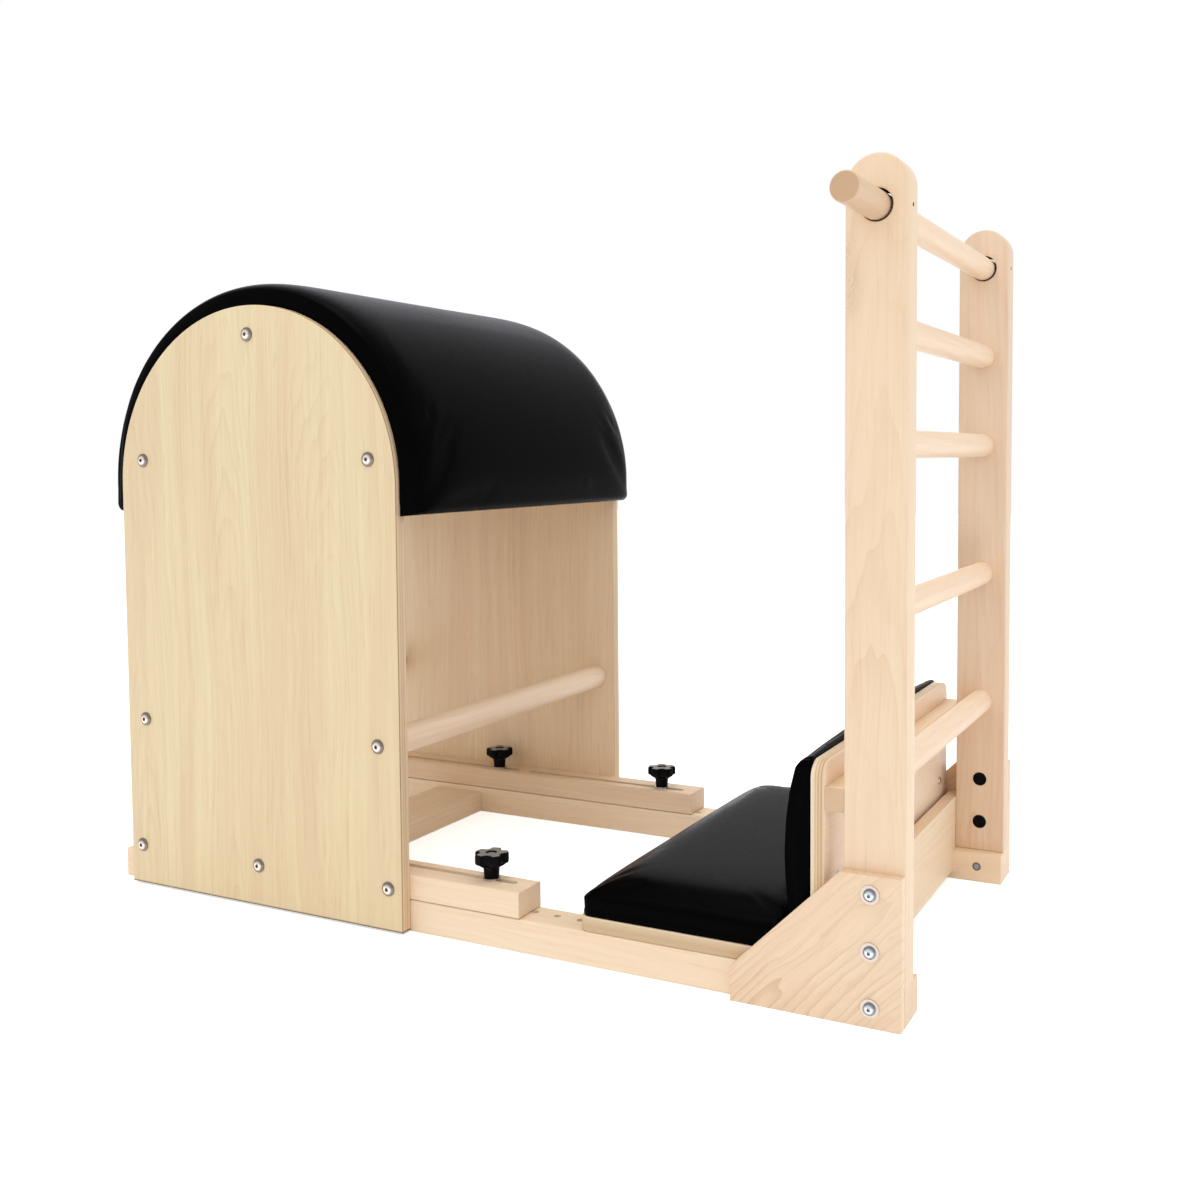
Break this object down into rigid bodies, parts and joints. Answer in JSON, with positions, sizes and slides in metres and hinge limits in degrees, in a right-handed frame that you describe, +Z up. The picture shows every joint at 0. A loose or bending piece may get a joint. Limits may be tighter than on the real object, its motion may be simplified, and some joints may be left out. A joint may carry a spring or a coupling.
{
  "type": "pilates ladder barrel",
  "caption": "Ladder barrel with a padded arch on a wooden box that slides along two base rails, a ladder with round rungs, and a padded seat with clamping star knobs.",
  "frame": {"origin": "on the floor, in the middle of the whole object's box", "axes": "+X runs from the barrel to the ladder along the base rails, +Y across the rails to the far side of the picture, +Z up"},
  "size_m": [1.256, 0.826, 0.999],
  "materials": {
    "maple": "satin",
    "plywood": "satin",
    "vinyl": "satin",
    "black_plastic": "matte",
    "nickel": "polished",
    "brass": "satin"
  },
  "bodies": {
    "base": {"base_rail_right": "maple", "base_rail_left": "maple", "rear_cross_board": "maple", "ladder_cross_board": "maple", "upright_right": "maple", "upright_left": "maple", "gusset_right": "maple", "gusset_left": "maple", "handle_bar": "maple", "rung_1": "maple", "rung_2": "maple", "rung_3": "maple", "rung_4": "maple", "back_beam": "maple", "back_board": "plywood", "back_pad": "vinyl", "foot_board": "plywood", "foot_pad": "vinyl", "gusset_bolts": "nickel", "gusset_washers": "nickel", "gusset_nuts": "nickel", "upright_caps": "black_plastic", "set_screws": "nickel", "rail_inserts": "brass", "foot_board_screws": "nickel", "back_board_screws": "nickel", "cross_board_screws": "nickel", "back_pad_bolts": "nickel"},
    "barrel": {"side_panel_right": "plywood", "side_panel_left": "plywood", "slide_beam_right": "maple", "slide_beam_left": "maple", "barrel_shell": "plywood", "barrel_pad": "vinyl", "slat_top": "maple", "slat_front": "maple", "slat_rear": "maple", "crossbar_front": "maple", "crossbar_rear": "maple", "panel_bolts": "nickel", "panel_inserts": "nickel"},
    "clamp_1": {"clamp_washer_1": "nickel"},
    "knob_body_1": {"knob_1": "black_plastic", "stud_1": "nickel"},
    "clamp_2": {"clamp_washer_2": "nickel"},
    "knob_body_2": {"knob_2": "black_plastic", "stud_2": "nickel"},
    "clamp_3": {"clamp_washer_3": "nickel"},
    "knob_body_3": {"knob_3": "black_plastic", "stud_3": "nickel"},
    "clamp_4": {"clamp_washer_4": "nickel"},
    "knob_body_4": {"knob_4": "black_plastic", "stud_4": "nickel"}
  },
  "joints": [
    {"name": "barrel_slide", "type": "slide", "parent": "base", "child": "barrel", "axis": [1, 0, 0], "range_m": [-0.03, 0.085]},
    {"name": "knob_1_lift", "type": "slide", "parent": "base", "child": "clamp_1", "axis": [0, 0, 1], "range_m": [0, 0.003]},
    {"name": "knob_1_turn", "type": "hinge", "parent": "clamp_1", "child": "knob_body_1", "pos_m": [0.0395, -0.2665, 0.1], "axis": [0, 0, 1], "range_deg": [0, 720]},
    {"name": "knob_2_lift", "type": "slide", "parent": "base", "child": "clamp_2", "axis": [0, 0, 1], "range_m": [0, 0.003]},
    {"name": "knob_2_turn", "type": "hinge", "parent": "clamp_2", "child": "knob_body_2", "pos_m": [-0.2975, -0.2665, 0.1], "axis": [0, 0, 1], "range_deg": [0, 720]},
    {"name": "knob_3_lift", "type": "slide", "parent": "base", "child": "clamp_3", "axis": [0, 0, 1], "range_m": [0, 0.003]},
    {"name": "knob_3_turn", "type": "hinge", "parent": "clamp_3", "child": "knob_body_3", "pos_m": [0.0395, 0.2665, 0.1], "axis": [0, 0, 1], "range_deg": [0, 720]},
    {"name": "knob_4_lift", "type": "slide", "parent": "base", "child": "clamp_4", "axis": [0, 0, 1], "range_m": [0, 0.003]},
    {"name": "knob_4_turn", "type": "hinge", "parent": "clamp_4", "child": "knob_body_4", "pos_m": [-0.2975, 0.2665, 0.1], "axis": [0, 0, 1], "range_deg": [0, 720]}
  ],
  "couplings": [
    {"joint": "knob_1_turn", "follows": "knob_1_lift", "rad_per_m": 4188.8},
    {"joint": "knob_2_turn", "follows": "knob_2_lift", "rad_per_m": 4188.8},
    {"joint": "knob_3_turn", "follows": "knob_3_lift", "rad_per_m": 4188.8},
    {"joint": "knob_4_turn", "follows": "knob_4_lift", "rad_per_m": 4188.8}
  ]
}
